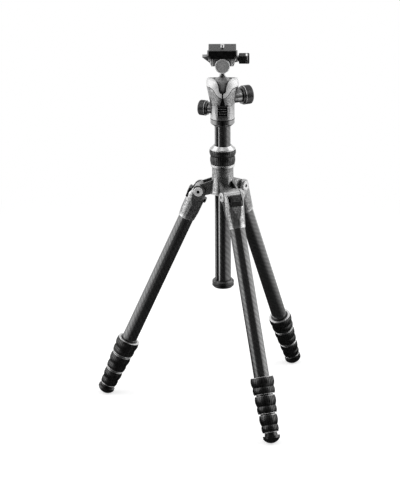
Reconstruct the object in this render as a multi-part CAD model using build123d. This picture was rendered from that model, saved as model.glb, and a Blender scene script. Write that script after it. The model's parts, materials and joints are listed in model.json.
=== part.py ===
from build123d import *
import math
import os

# Travel tripod with ball head and quick-release plate. Sizes are in millimetres.
# Heights are counted from the plane of the three leg pivots, unless a name says otherwise.

# Stance
LEG_ANGLE = 24.24            # of each leg from the vertical, in degrees
LEG_FOLD_ANGLE = 135.0       # by which a leg swings up from there, in degrees
PIVOT_RADIUS = 38.4          # from the column's axis to a leg pivot
LEG_NAMES = ["left", "front", "rear"]
FIRST_LEG_AZIMUTH = 172.66   # in degrees; the other legs follow at even angles

# Fits
RUN_GAP = 0.05               # radial, where one piece turns or slides in another
SEAT_GAP = 0.03              # radial, where pieces are glued or pressed together
FREE_GAP = 0.3               # between pieces that pass each other

# Leg tubes, largest first, with distances along the leg from its pivot
TUBE_DIAMETERS = [25.0, 21.5, 18.0, 14.5]
TUBE_WALL = 1.2
TUBE_TOPS = [24.0, 30.0, 34.0, 38.0]
FIRST_LOCK_TOP = 298.0
LOCK_LENGTHS = [30.2, 31.0, 30.6]
LOCK_DIAMETERS = [38.6, 34.6, 30.4]
LOCK_STEP = 1.1              # by which a collar's lower bulge is smaller, in radius
LOCK_WAIST = 2.2             # depth of the waist between a collar's two bulges
LOCK_ROUND = 1.4             # depth of the rounding at a collar's two ends
LOCK_LOWER_SHARE = 0.42      # of a collar's height that lies below its waist
LOCK_NECK_LENGTH = 2.2       # narrow lower end of a leg's collar
LOCK_NECK_WALL = 2.6
LOCK_LIP = 3.7               # closed lower end of a collar, below its bush
BUSH_LENGTH = 10.0

# Feet
FOOT_DIAMETER = 27.7
FOOT_DOME_RADIUS = 16.0
FOOT_LENGTH = 15.3           # from the last lock to the tip of the dome
FOOT_NECK_RADIUS = 10.5
FOOT_NECK_LENGTH = 3.2
FOOT_SOCKET = 6.0            # depth that the last tube enters the foot

# Leg casting: a fork round the spider's arm, and a sleeve over the first tube
CASTING_RADIUS = 15.0        # seen from the side
CASTING_END = 54.0
CASTING_END_WALL = 1.1
FORK_RADIUS = 10.5
FORK_SHOULDER = 16.0         # where the fork has widened to the sleeve
FORK_SHOULDER_RADIUS = 17.3
FORK_SLOT_DEPTH = 10.5
CHEEK_THICKNESS = 4.2
ARM_HALF_WIDTH = 12.0

# Angle catch: a bar through the casting with a thumb tab outside
CATCH_HEIGHT = 6.5
CATCH_HALF_WIDTH = 6.0
CATCH_INNER_END = 18.0       # from the leg's axis, towards the column
CATCH_END_ROUND = 2.0
CATCH_SEAT = 12.0            # flat on the casting under the thumb tab
CATCH_TAB_THICKNESS = 4.0
CATCH_TAB_TOP = 2.5
CATCH_TAB_LENGTH = 16.5
CATCH_TAB_HALF_WIDTH = 9.0
CATCH_TAB_ROUND = 1.2

# Pivot bolts
BOLT_RADIUS = 4.0
BOLT_HEAD_RADIUS = 7.8
BOLT_HEAD_HEIGHT = 2.6
BOLT_HEAD_CHAMFER = 0.6
BOLT_SOCKET_RADIUS = 3.0
BOLT_SOCKET_DEPTH = 1.8

# Spider
ARM_END_RADIUS = 9.5
ARM_ROOT_TOP = 19.0
ARM_ROOT_RADIUS = 14.0
HUB_BOTTOM = -4.0
HUB_RADIUS = 23.0
HUB_FLARE_RADIUS = 19.2      # of the hub half way up its flare
HUB_FLARE_HEIGHT = 12.2
NECK_RADIUS = 17.5
NECK_BASE = 27.0
NECK_FLANGE_RADIUS = 19.4
NECK_FLANGE_BOTTOM = 40.8
NECK_THREAD_WALL = 1.32      # of the threaded neck, round the column's bush

# Column and its lock
COLUMN_DIAMETER = 26.0
COLUMN_WALL = 1.5
COLUMN_TOP = 110.2
COLUMN_BOTTOM = -156.3
COLUMN_BUSH_WALL = 1.6
COLUMN_BUSH_BOTTOM = 22.0
COLUMN_GROOVE_AZIMUTH = 226.0
COLUMN_GROOVE_WIDTH = 4.0    # of the groove that keeps the column from turning
COLUMN_GROOVE_DEPTH = 0.8
COLUMN_LOCK_BOTTOM = 44.2
COLUMN_LOCK_LENGTH = 26.5
COLUMN_LOCK_DIAMETER = 43.5
COLUMN_LOCK_LOWER_SHARE = 0.55
COLUMN_LOCK_LIP = 5.5
COLUMN_RING_HEIGHT = 5.8
COLUMN_RING_EDGE = 1.0       # straight lower edge of the conical ring
COLUMN_RING_RADIUS = 19.4
COLUMN_RING_TOP_WALL = 1.3
END_CAP_DIAMETER = 36.0
END_CAP_HEIGHT = 12.5
END_CAP_GROOVE = 1.2
END_CAP_GROOVE_SLOPE = 0.5
PLUG_LENGTH = 14.0
TOP_PLATE_HEIGHT = 3.0
TOP_PLATE_RADIUS = 15.0
HEAD_STUD_RADIUS = 4.76      # 3/8 inch thread that carries the head
HEAD_STUD_LENGTH = 7.0

# Pan base
PAN_RADIUS = 19.8
PAN_HEIGHT = 9.2
PAN_CHAMFER = 1.5
PAN_SPIGOT_RADIUS = 8.0
PAN_SPIGOT_LENGTH = 14.0

# Head housing, with heights from the pan seam
HOUSING_RADIUS = 19.5
HOUSING_STRAIGHT = 22.5
HOUSING_WIDE_RADIUS = 26.0
HOUSING_WIDE_HEIGHT = 55.0
HOUSING_HEIGHT = 66.6        # of the rim at the sides
HOUSING_RIM_RADIUS = 23.8
HOUSING_SHOULDER_RADIUS = 25.6
RIM_ANGLE = 12.5             # by which the rim drops to the back, in degrees
HOUSING_MOUTH_RADIUS = 18.4
HOUSING_FRONT = 24.2         # flat front of the housing, from the column's axis
NOTCH_EDGE = [(7.2, 59.5), (10.8, 66.8), (16.5, 70.4)]
LIP_EDGE = [(0, 38.6), (8.3, 42.5), (11.8, 47.4), (15.6, 52.8), (26.5, 54.6)]
LIP_SHELL = 1.8
LIP_PROUD = 0.6
SLIT_HALF_WIDTH = 1.2
SLIT_FOOT_HALF_WIDTH = 4.5
SLIT_DEPTH = 1.0
BADGE_HALF_WIDTH = 9.7
BADGE_BOTTOM = 6.5
BADGE_TOP = 24.5
BADGE_PROUD = 1.0
BADGE_BORDER = 1.6
BADGE_RECESS = 0.6

# Ball and stem, with heights from the ball's centre
BALL_RADIUS = 18.0
BALL_HEIGHT = 51.2           # of the ball's centre above the pan seam
BALL_GAP = 0.08
MOUTH_ANGLE = 52.0           # polar angle where the socket's mouth opens, in degrees
STEM_RADIUS = 5.2
BARREL_HEIGHT = 39.8         # of the clamp barrel's axis above the ball's centre
STEM_REACH = 1.0             # of the stem above the barrel's axis

# Knobs on the housing: azimuth, height above the seam, and radii and distances from the axis
KNOBS = {
    "ball_lock": {"azimuth": 25.0, "height": 33.5, "boss": 11.0, "start": 32.0, "collar": 14.0,
                  "grip": 15.6, "grip_start": 36.0, "end": 50.0, "shaft": 4.0, "tip": 20.0},
    "pan_lock": {"azimuth": 158.0, "height": 13.3, "boss": 8.0, "start": 24.0, "collar": 10.6,
                 "grip": 12.5, "grip_start": 28.0, "end": 40.0, "shaft": 3.0, "tip": 13.0},
}
KNOB_GAP = 0.4               # between a boss and its knob
GRIP_ROUND = 2.5

# Clamp, with heights from the barrel's axis
BARREL_RADIUS = 12.0
BARREL_HALF_LENGTH = 20.0
BARREL_CHAMFER = 1.0
BARREL_RIM = 1.9             # width of the rim round a dished end
BARREL_DISH_DEPTH = 0.8
CLAMP_HALF_LENGTH = 18.0
CLAMP_BOTTOM = -0.5
CLAMP_WALL = 2.3             # beside the barrel
CLAMP_BRIDGE = 0.8           # over the barrel
JAW_FOOT = 3.2               # width of the moving jaw's lower end
JAW_REACH = 24.5
JAW_TIP_HEIGHT = 2.6
WING_REACH = 32.3            # of the wing on the fixed jaw
WING_HALF_LENGTH = 8.0
WING_TOP = 12.6
WING_EDGE = 0.8              # thickness of the wing's tip
WING_FOOT = 2.6              # height where the wing's underside meets the jaw
WING_ROOT = 19.9
CLAMP_SCREW_HEIGHT = 7.9
CLAMP_SCREW_RADIUS = 3.0
CLAMP_SCREW_TIP = -8.0
CLAMP_KNOB_RADIUS = 8.7
CLAMP_KNOB_START = 26.5
CLAMP_KNOB_END = 43.6
CLAMP_KNOB_CHAMFER = 1.0
CLAMP_KNOB_HUB = 5.0
JAW_BOSS_WALL = 1.0          # by which the jaw's boss is larger than the knob's hub, in radius

# Quick-release plate and camera screw
DOVETAIL_HALF_WIDTH = 19.0
DOVETAIL_LAND = 1.0
DOVETAIL_RISE = 3.0
DOVETAIL_GAP = 0.08
PLATE_HALF_WIDTH = 22.25
PLATE_HALF_LENGTH = 23.25
PLATE_THICKNESS = 9.0
SCREW_RADIUS = 3.175         # 1/4 inch camera thread
SCREW_NECK_RADIUS = 2.4      # of the plain neck inside the plate
SCREW_REACH = 5.0            # above the plate
SCREW_RELIEF = 0.4           # from the plate up to the thread
SCREW_CHAMFER = 0.6
SCREW_HEAD_RADIUS = 7.0
SCREW_HEAD_HEIGHT = 2.4
SCREW_SLOT_HALF_WIDTH = 0.8
SCREW_SLOT_DEPTH = 1.2
SCREW_POCKET_DEPTH = 4.0

# Values that follow from the sizes above
LEG_AZIMUTHS = {name: FIRST_LEG_AZIMUTH + index * 360 / len(LEG_NAMES) for index, name in enumerate(LEG_NAMES)}
LOCK_TOPS = []
lock_top = FIRST_LOCK_TOP
for lock_length in LOCK_LENGTHS:
    LOCK_TOPS.append(lock_top)
    lock_top += lock_length + FREE_GAP
FOOT_TOP = lock_top
FOOT_TIP = FOOT_TOP + FOOT_LENGTH
FOOT_CENTRE = FOOT_TIP - FOOT_DOME_RADIUS
PIVOT_HEIGHT = FOOT_CENTRE * math.cos(math.radians(LEG_ANGLE)) + FOOT_DOME_RADIUS
PAN_BOTTOM = COLUMN_TOP + TOP_PLATE_HEIGHT
SEAM = PAN_BOTTOM + PAN_HEIGHT + FREE_GAP
BALL_CENTRE = SEAM + BALL_HEIGHT
BARREL_CENTRE = BALL_CENTRE + BARREL_HEIGHT
NECK_THREAD_RADIUS = COLUMN_DIAMETER / 2 + RUN_GAP + COLUMN_BUSH_WALL + SEAT_GAP + NECK_THREAD_WALL
NOTCH_RADIUS = STEM_RADIUS + 2 * FREE_GAP
CHEEK_FACE = ARM_HALF_WIDTH + FREE_GAP + CHEEK_THICKNESS
JAW_SPLIT = BARREL_RADIUS + CLAMP_WALL
CLAMP_FLOOR = BARREL_RADIUS + CLAMP_BRIDGE
JAW_TOP = CLAMP_FLOOR + DOVETAIL_LAND + DOVETAIL_RISE
PLATE_SLAB_BOTTOM = JAW_TOP + FREE_GAP
PLATE_TOP = PLATE_SLAB_BOTTOM + PLATE_THICKNESS


# Shared shapes
def post(radius, low, high):
    """A cylinder on the Z axis between two heights."""
    return Pos(0, 0, low) * Cylinder(radius, high - low, align=(Align.CENTER, Align.CENTER, Align.MIN))


def pipe(outer, inner, low, high):
    """A tube on the Z axis, with its radii."""
    return post(outer, low, high) - post(inner, low, high)


def block(x_range, y_range, z_range):
    """A box between two corners, given as three ranges."""
    middle = [sum(span) / 2 for span in (x_range, y_range, z_range)]
    size = [span[1] - span[0] for span in (x_range, y_range, z_range)]
    return Pos(*middle) * Box(*size)


def turned(*outline):
    """A solid of revolution about Z, from (radius, height) points."""
    return revolve(Plane.XZ * Polygon(*outline, align=None), Axis.Z)


def turned_line(line):
    """A solid of revolution about Z, from a closed line of edges in the XZ plane."""
    return revolve(Plane.XZ * make_face(line), Axis.Z)


def prism(half_length, *outline):
    """A prism along Y, symmetric about the XZ plane, from (x, z) points."""
    return extrude(Plane.XZ * Polygon(*outline, align=None), amount=half_length, both=True)


def both_sides(half):
    """A face that is symmetric about the vertical, from the closed line round its right half."""
    face = make_face(half)
    return face + mirror(face, Plane.YZ)


def grip_line(inner, outer, lower_share, low, high):
    """Half section of a twist collar: a rounded lower bulge, a waist and a wider upper bulge."""
    middle = low + lower_share * (high - low)
    lower = outer - LOCK_STEP
    waist = outer - LOCK_WAIST
    line = Line((inner, low), (lower - LOCK_ROUND, low))
    line += ThreePointArc((lower - LOCK_ROUND, low), (lower, (low + middle) / 2), (waist, middle))
    line += ThreePointArc((waist, middle), (outer, (middle + high) / 2), (outer - LOCK_ROUND, high))
    line += Polyline((outer - LOCK_ROUND, high), (inner, high), (inner, low))
    return line


# Leg pieces, modelled on an upright leg: its pivot at the origin, the foot straight down, +X outwards
def lock_end(index):
    return LOCK_TOPS[index] + LOCK_LENGTHS[index]


def tube_end(index):
    """Lower end of a leg tube: in its lock, or for the last one in the foot."""
    if index < len(LOCK_TOPS):
        return lock_end(index) - LOCK_LIP - FREE_GAP - BUSH_LENGTH
    return FOOT_TOP + FOOT_SOCKET


def leg_tube(index):
    radius = TUBE_DIAMETERS[index] / 2
    return pipe(radius, radius - TUBE_WALL, -tube_end(index), -TUBE_TOPS[index])


def lock_collar(index):
    """Twist collar on the lower end of a tube, closed in to a short neck round the next tube."""
    upper_bore = TUBE_DIAMETERS[index] / 2 + RUN_GAP
    lower_bore = TUBE_DIAMETERS[index + 1] / 2 + FREE_GAP
    top = -LOCK_TOPS[index]
    bottom = -lock_end(index)
    grip_low = bottom + LOCK_NECK_LENGTH
    collar = turned_line(grip_line(lower_bore, LOCK_DIAMETERS[index] / 2, LOCK_LOWER_SHARE, grip_low, top))
    collar += pipe(lower_bore + LOCK_NECK_WALL, lower_bore, bottom, grip_low)
    return collar - post(upper_bore, bottom + LOCK_LIP, top)


def lock_bush(index):
    """Collet bush at the lower end of a tube, round the next tube."""
    bore = TUBE_DIAMETERS[index + 1] / 2 + RUN_GAP
    top = -tube_end(index)
    return pipe(TUBE_DIAMETERS[index] / 2, bore, top - BUSH_LENGTH, top)


def foot():
    """Rubber foot: a short neck, a puck and a domed sole."""
    radius = FOOT_DIAMETER / 2
    neck_end = -FOOT_TOP - FOOT_NECK_LENGTH
    dome_rise = math.sqrt(FOOT_DOME_RADIUS ** 2 - radius ** 2)
    puck_end = -FOOT_CENTRE - dome_rise
    slope = math.asin(radius / FOOT_DOME_RADIUS) / 2
    dome_middle = (FOOT_DOME_RADIUS * math.sin(slope), -FOOT_CENTRE - FOOT_DOME_RADIUS * math.cos(slope))
    line = Polyline((0, -FOOT_TIP), (0, -FOOT_TOP), (FOOT_NECK_RADIUS, -FOOT_TOP),
                    (FOOT_NECK_RADIUS, neck_end), (radius, neck_end), (radius, puck_end))
    line += ThreePointArc((radius, puck_end), dome_middle, (0, -FOOT_TIP))
    socket = post(TUBE_DIAMETERS[-1] / 2 + SEAT_GAP, -FOOT_TOP - FOOT_SOCKET, -FOOT_TOP)
    return turned_line(line) - socket


def casting():
    """Fork round the spider's arm, with a tapered sleeve for the first tube below."""
    end_radius = TUBE_DIAMETERS[0] / 2 + CASTING_END_WALL
    taper = (FORK_SHOULDER_RADIUS - end_radius) / (CASTING_END - FORK_SHOULDER)
    top_radius = FORK_SHOULDER_RADIUS + taper * (FORK_SHOULDER + FORK_RADIUS)
    blank = turned((0, -CASTING_END), (end_radius, -CASTING_END), (top_radius, FORK_RADIUS), (0, FORK_RADIUS))
    side = Circle(FORK_RADIUS) + Polygon((-FORK_RADIUS, 0), (-CASTING_RADIUS, -FORK_SHOULDER),
                                         (-CASTING_RADIUS, -CASTING_END), (CASTING_RADIUS, -CASTING_END),
                                         (CASTING_RADIUS, -FORK_SHOULDER), (FORK_RADIUS, 0), align=None)
    shape = blank & extrude(Plane.XZ * side, amount=CHEEK_FACE, both=True)
    wide = 2 * CASTING_RADIUS
    slot_half = ARM_HALF_WIDTH + FREE_GAP
    shape -= block((-wide, wide), (-slot_half, slot_half), (-FORK_SLOT_DEPTH, wide))
    shape -= Rot(90, 0, 0) * Cylinder(BOLT_RADIUS + RUN_GAP, 2 * wide)
    shape -= post(TUBE_DIAMETERS[0] / 2 + SEAT_GAP, -CASTING_END, -TUBE_TOPS[0])
    catch_half = CATCH_HALF_WIDTH + FREE_GAP
    catch_low = -FORK_SLOT_DEPTH - CATCH_HEIGHT - FREE_GAP
    shape -= block((-wide, wide), (-catch_half, catch_half), (catch_low, 0))
    tab_low = -CATCH_TAB_TOP - CATCH_TAB_LENGTH - FREE_GAP
    return shape - block((CATCH_SEAT, wide), (-slot_half, slot_half), (tab_low, 0))


def angle_catch():
    """Sliding bar across the casting, with a rounded inner end and a thumb tab outside."""
    tab_face = CATCH_SEAT + FREE_GAP
    high = -FORK_SLOT_DEPTH
    low = high - CATCH_HEIGHT
    bar = block((-CATCH_INNER_END, tab_face), (-CATCH_HALF_WIDTH, CATCH_HALF_WIDTH), (low, high))
    bar = fillet(bar.faces().sort_by(Axis.X)[0].edges(), CATCH_END_ROUND)
    tab = block((tab_face, tab_face + CATCH_TAB_THICKNESS), (-CATCH_TAB_HALF_WIDTH, CATCH_TAB_HALF_WIDTH),
                (-CATCH_TAB_TOP - CATCH_TAB_LENGTH, -CATCH_TAB_TOP))
    tab = fillet(tab.faces().sort_by(Axis.X)[-1].edges(), CATCH_TAB_ROUND)
    return bar + tab


def leg_place(azimuth):
    """Where an upright leg goes on the tripod."""
    return Rot(0, 0, azimuth) * Pos(PIVOT_RADIUS, 0, 0) * Rot(0, -LEG_ANGLE, 0)


def leg_nodes(name, azimuth):
    upright = {"casting": casting(), "angle_catch": angle_catch(), "foot": foot()}
    for index in range(len(TUBE_DIAMETERS)):
        upright[f"tube_{index + 1}"] = leg_tube(index)
    for index in range(len(LOCK_LENGTHS)):
        upright[f"lock_collar_{index + 1}"] = lock_collar(index)
        upright[f"lock_bush_{index + 1}"] = lock_bush(index)
    place = leg_place(azimuth)
    return {f"{name}_leg_{piece}": place * solid for piece, solid in upright.items()}


# Spider and column
def spider_arm():
    """One arm, along +X: a rounded end at the pivot, running into the hub, with room for a folded leg's tab."""
    end = Pos(PIVOT_RADIUS, 0) * Circle(ARM_END_RADIUS)
    root = Line((ARM_ROOT_RADIUS, HUB_BOTTOM), (ARM_ROOT_RADIUS, ARM_ROOT_TOP))
    side = make_hull(end.edges() + root.edges())
    arm = extrude(Plane.XZ * side, amount=ARM_HALF_WIDTH, both=True)
    pocket_half = CATCH_TAB_HALF_WIDTH + FREE_GAP
    pocket = block((0, PIVOT_RADIUS), (-pocket_half, pocket_half), (-PIVOT_RADIUS, FREE_GAP - CATCH_TAB_TOP))
    pocket -= Rot(90, 0, 0) * Cylinder(CATCH_SEAT, 4 * ARM_HALF_WIDTH)
    bore = Rot(90, 0, 0) * Cylinder(BOLT_RADIUS + SEAT_GAP, 4 * ARM_HALF_WIDTH)
    return arm - Pos(PIVOT_RADIUS, 0, 0) * (Rot(0, -LEG_ANGLE - LEG_FOLD_ANGLE, 0) * pocket + bore)


def neck_top():
    """Upper end of the threaded neck, inside the column's lock collar."""
    return COLUMN_LOCK_BOTTOM + COLUMN_LOCK_LENGTH - COLUMN_LOCK_LIP - FREE_GAP


def bush_radius():
    return COLUMN_DIAMETER / 2 + RUN_GAP + COLUMN_BUSH_WALL


def spider():
    """Hub that flares from the neck down to the three arms."""
    flange_top = COLUMN_LOCK_BOTTOM - FREE_GAP
    line = Polyline((HUB_RADIUS, 0), (HUB_RADIUS, HUB_BOTTOM), (0, HUB_BOTTOM), (0, neck_top()),
                    (NECK_THREAD_RADIUS, neck_top()), (NECK_THREAD_RADIUS, flange_top),
                    (NECK_FLANGE_RADIUS, flange_top), (NECK_FLANGE_RADIUS, NECK_FLANGE_BOTTOM),
                    (NECK_RADIUS, NECK_FLANGE_BOTTOM), (NECK_RADIUS, NECK_BASE))
    line += ThreePointArc((NECK_RADIUS, NECK_BASE), (HUB_FLARE_RADIUS, HUB_FLARE_HEIGHT), (HUB_RADIUS, 0))
    body = turned_line(line)
    for azimuth in LEG_AZIMUTHS.values():
        body += Rot(0, 0, azimuth) * spider_arm()
    body -= post(COLUMN_DIAMETER / 2 + FREE_GAP, HUB_BOTTOM - ARM_END_RADIUS, COLUMN_BUSH_BOTTOM)
    return body - post(bush_radius() + SEAT_GAP, COLUMN_BUSH_BOTTOM, neck_top())


def pivot_bolt():
    """Pin through arm and fork, with a socketed head on each end."""
    head_face = CHEEK_FACE + FREE_GAP
    bolt = post(BOLT_RADIUS, -head_face, head_face)
    for flip in (0, 180):
        head = post(BOLT_HEAD_RADIUS, head_face, head_face + BOLT_HEAD_HEIGHT)
        head = chamfer(head.edges().sort_by(Axis.Z)[-1], BOLT_HEAD_CHAMFER)
        socket = extrude(Pos(0, 0, head_face + BOLT_HEAD_HEIGHT) * RegularPolygon(BOLT_SOCKET_RADIUS, 6),
                         amount=-BOLT_SOCKET_DEPTH)
        bolt += Rot(flip, 0, 0) * (head - socket)
    return bolt


def pivot_bolts():
    bolts = []
    for azimuth in LEG_AZIMUTHS.values():
        bolts.append(Rot(0, 0, azimuth) * Pos(PIVOT_RADIUS, 0, 0) * Rot(90, 0, 0) * pivot_bolt())
    return bolts


def column_key(half_width, floor_gap, low, high):
    """Bar in the column's groove, from a gap over the groove's floor out into the bush's wall."""
    floor = COLUMN_DIAMETER / 2 - COLUMN_GROOVE_DEPTH + floor_gap
    reach = bush_radius() - COLUMN_BUSH_WALL / 2
    return Rot(0, 0, COLUMN_GROOVE_AZIMUTH) * block((floor, reach), (-half_width, half_width), (low, high))


def column_bush():
    """Bush in the neck, with the key that runs in the column's groove."""
    top = neck_top()
    bush = pipe(bush_radius(), COLUMN_DIAMETER / 2 + RUN_GAP, COLUMN_BUSH_BOTTOM, top)
    return bush + column_key(COLUMN_GROOVE_WIDTH / 2 - RUN_GAP, FREE_GAP, COLUMN_BUSH_BOTTOM, top)


def column_lock_collar():
    """Twist collar on the neck's thread, closed in above the neck."""
    top = COLUMN_LOCK_BOTTOM + COLUMN_LOCK_LENGTH
    line = grip_line(COLUMN_DIAMETER / 2 + FREE_GAP, COLUMN_LOCK_DIAMETER / 2, COLUMN_LOCK_LOWER_SHARE,
                     COLUMN_LOCK_BOTTOM, top)
    return turned_line(line) - post(NECK_THREAD_RADIUS + RUN_GAP, COLUMN_LOCK_BOTTOM, top - COLUMN_LOCK_LIP)


def column_lock_ring():
    """Conical ring on top of the collar."""
    low = COLUMN_LOCK_BOTTOM + COLUMN_LOCK_LENGTH
    bore = COLUMN_DIAMETER / 2 + FREE_GAP
    high = low + COLUMN_RING_HEIGHT
    return turned((bore, low), (COLUMN_RING_RADIUS, low), (COLUMN_RING_RADIUS, low + COLUMN_RING_EDGE),
                  (bore + COLUMN_RING_TOP_WALL, high), (bore, high))


def column_tube():
    """Carbon tube with a groove along its whole length."""
    radius = COLUMN_DIAMETER / 2
    tube = pipe(radius, radius - COLUMN_WALL, COLUMN_BOTTOM, COLUMN_TOP)
    return tube - column_key(COLUMN_GROOVE_WIDTH / 2, 0, COLUMN_BOTTOM, COLUMN_TOP)


def plug_radius():
    return COLUMN_DIAMETER / 2 - COLUMN_WALL - SEAT_GAP


def column_end_cap():
    """Cap with two rims and a groove between them, plugged into the column's lower end."""
    radius = END_CAP_DIAMETER / 2
    low = COLUMN_BOTTOM - END_CAP_HEIGHT
    step = END_CAP_HEIGHT / 5
    groove_low = low + 2 * step
    groove_high = low + 3 * step
    cap = turned((0, low), (radius - step, low), (radius, low + step), (radius, groove_low),
                 (radius - END_CAP_GROOVE, groove_low + END_CAP_GROOVE_SLOPE),
                 (radius - END_CAP_GROOVE, groove_high - END_CAP_GROOVE_SLOPE),
                 (radius, groove_high), (radius, low + 4 * step), (radius - step, COLUMN_BOTTOM),
                 (0, COLUMN_BOTTOM))
    return cap + post(plug_radius(), COLUMN_BOTTOM, COLUMN_BOTTOM + PLUG_LENGTH)


def column_top_plate():
    """Disc on the column's upper end, with a plug below and the head's stud above."""
    plate = post(TOP_PLATE_RADIUS, COLUMN_TOP, PAN_BOTTOM)
    plate += post(plug_radius(), COLUMN_TOP - PLUG_LENGTH, COLUMN_TOP)
    return plate + post(HEAD_STUD_RADIUS, PAN_BOTTOM, PAN_BOTTOM + HEAD_STUD_LENGTH)


# Head
def pan_base():
    """Fixed base of the head, with the spigot that the housing turns on."""
    top = PAN_BOTTOM + PAN_HEIGHT
    base = turned((0, PAN_BOTTOM), (PAN_RADIUS - PAN_CHAMFER, PAN_BOTTOM),
                  (PAN_RADIUS, PAN_BOTTOM + PAN_CHAMFER), (PAN_RADIUS, top), (0, top))
    base += post(PAN_SPIGOT_RADIUS, top, top + PAN_SPIGOT_LENGTH)
    return base - post(HEAD_STUD_RADIUS + SEAT_GAP, PAN_BOTTOM, PAN_BOTTOM + HEAD_STUD_LENGTH)


def housing_blank(growth):
    """Outer form of the housing, grown or shrunk by a radial amount: flat in front, the rim dropping back."""
    foot_radius = HOUSING_RADIUS + growth
    wide_radius = HOUSING_WIDE_RADIUS + growth
    rim_radius = HOUSING_RIM_RADIUS + growth
    beyond = 2 * HOUSING_WIDE_RADIUS
    crown = HOUSING_HEIGHT + beyond * math.tan(math.radians(RIM_ANGLE))
    line = Polyline((rim_radius, HOUSING_HEIGHT), (rim_radius, crown), (0, crown), (0, 0), (foot_radius, 0),
                    (foot_radius, HOUSING_STRAIGHT), (wide_radius, HOUSING_WIDE_HEIGHT))
    shoulder = (HOUSING_SHOULDER_RADIUS + growth, (HOUSING_WIDE_HEIGHT + HOUSING_HEIGHT) / 2)
    line += ThreePointArc((wide_radius, HOUSING_WIDE_HEIGHT), shoulder, (rim_radius, HOUSING_HEIGHT))
    form = turned_line(line) - block((-beyond, beyond), (-beyond, -HOUSING_FRONT - growth), (0, 2 * crown))
    above = block((-beyond, beyond), (-beyond, beyond), (0, beyond))
    return form - Pos(0, 0, HOUSING_HEIGHT) * Rot(-RIM_ANGLE, 0, 0) * above


def lip_region():
    """Where the bright lip covers the housing: a band behind, and a V in front."""
    wide = 2 * HOUSING_WIDE_RADIUS
    above = 2 * HOUSING_HEIGHT
    side_height = LIP_EDGE[-1][1]
    half = Spline(*LIP_EDGE)
    half += Polyline(LIP_EDGE[-1], (wide, side_height), (wide, above), (0, above), LIP_EDGE[0])
    band = block((-wide, wide), (0, wide), (side_height, above))
    return extrude(Plane.XZ * both_sides(half), amount=wide) + band


def drop_notch():
    """Slot in the front that the stem drops into, flared at the top."""
    reach = 2 * HOUSING_WIDE_RADIUS
    centre = BALL_HEIGHT + FREE_GAP
    above = 2 * HOUSING_HEIGHT
    half = Spline((NOTCH_RADIUS, centre), *NOTCH_EDGE)
    half_width = NOTCH_EDGE[-1][0]
    half += Polyline(NOTCH_EDGE[-1], (half_width, above), (0, above), (0, centre), (NOTCH_RADIUS, centre))
    outline = both_sides(half) + Pos(0, centre) * Circle(NOTCH_RADIUS)
    return extrude(Plane.XZ * outline, amount=reach)


def ball_room():
    """Spherical socket with a conical mouth."""
    radius = BALL_RADIUS + BALL_GAP
    mouth = math.radians(MOUTH_ANGLE)
    lip_radius = radius * math.sin(mouth)
    lip_height = BALL_HEIGHT + radius * math.cos(mouth)
    above = HOUSING_HEIGHT + BALL_RADIUS
    cone = turned((0, BALL_HEIGHT), (lip_radius, lip_height), (HOUSING_MOUTH_RADIUS, HOUSING_HEIGHT),
                  (HOUSING_MOUTH_RADIUS, above), (0, above))
    return Pos(0, 0, BALL_HEIGHT) * Sphere(radius) + cone


def knob_place(knob):
    """Places a knob modelled along +Z from the column's axis, with heights from the seam."""
    return Rot(0, 0, knob["azimuth"]) * Pos(0, 0, knob["height"]) * Rot(0, 90, 0)


def lip_shell():
    """The bright lip before it is cut open: a skin on the housing that also covers the rim."""
    inner = Pos(0, 0, -LIP_SHELL) * housing_blank(LIP_PROUD - LIP_SHELL)
    return (housing_blank(LIP_PROUD) - inner) & lip_region()


def slit():
    """Groove down the front, from the notch to the badge, widening at its foot."""
    top = BALL_HEIGHT - NOTCH_RADIUS / 2
    half = Polyline((0, BADGE_TOP), (SLIT_FOOT_HALF_WIDTH, BADGE_TOP), (SLIT_HALF_WIDTH, LIP_EDGE[0][1]),
                    (SLIT_HALF_WIDTH, top), (0, top), (0, BADGE_TOP))
    cut = extrude(Plane.XZ * both_sides(half), amount=HOUSING_RADIUS)
    return Pos(0, SLIT_DEPTH - HOUSING_RADIUS, 0) * cut


def head_housing():
    """Cast housing: ball socket, drop notch, knob bosses, pan bore and a bare badge in front."""
    badge_front = -HOUSING_RADIUS - BADGE_PROUD
    badge = block((-BADGE_HALF_WIDTH, BADGE_HALF_WIDTH), (badge_front, 0), (BADGE_BOTTOM, BADGE_TOP))
    field_half = BADGE_HALF_WIDTH - BADGE_BORDER
    field = block((-field_half, field_half), (badge_front, badge_front + BADGE_RECESS),
                  (BADGE_BOTTOM + BADGE_BORDER, BADGE_TOP - BADGE_BORDER))
    spigot_room = post(PAN_SPIGOT_RADIUS + RUN_GAP, 0, PAN_SPIGOT_LENGTH)
    body = housing_blank(0) + badge
    for knob in KNOBS.values():
        body += knob_place(knob) * post(knob["boss"], HOUSING_RADIUS / 2, knob["start"])
    for room in (lip_shell(), ball_room(), drop_notch(), spigot_room, field, slit()):
        body -= room
    for knob in KNOBS.values():
        body -= knob_place(knob) * post(knob["shaft"] + RUN_GAP, knob["tip"] - FREE_GAP, knob["start"])
    return Pos(0, 0, SEAM) * body


def lip_collar():
    return Pos(0, 0, SEAM) * (lip_shell() - drop_notch() - ball_room() - slit())


def lock_knob(knob):
    """Ribbed grip on a thin collar, with its shaft."""
    face = knob["start"] + KNOB_GAP
    grip = post(knob["grip"], knob["grip_start"], knob["end"])
    grip = fillet(grip.edges().sort_by(Axis.Z)[-1], GRIP_ROUND)
    body = post(knob["collar"], face, knob["grip_start"]) + grip + post(knob["shaft"], knob["tip"], face)
    return Pos(0, 0, SEAM) * knob_place(knob) * body


def ball():
    return Pos(0, 0, BALL_CENTRE) * Sphere(BALL_RADIUS)


def ball_stem():
    """Neck on the ball, and the spigot that carries the clamp."""
    stem = post(STEM_RADIUS, BALL_RADIUS / 2, BARREL_HEIGHT + STEM_REACH)
    return Pos(0, 0, BALL_CENTRE) * (stem - Sphere(BALL_RADIUS + BALL_GAP))


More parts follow.
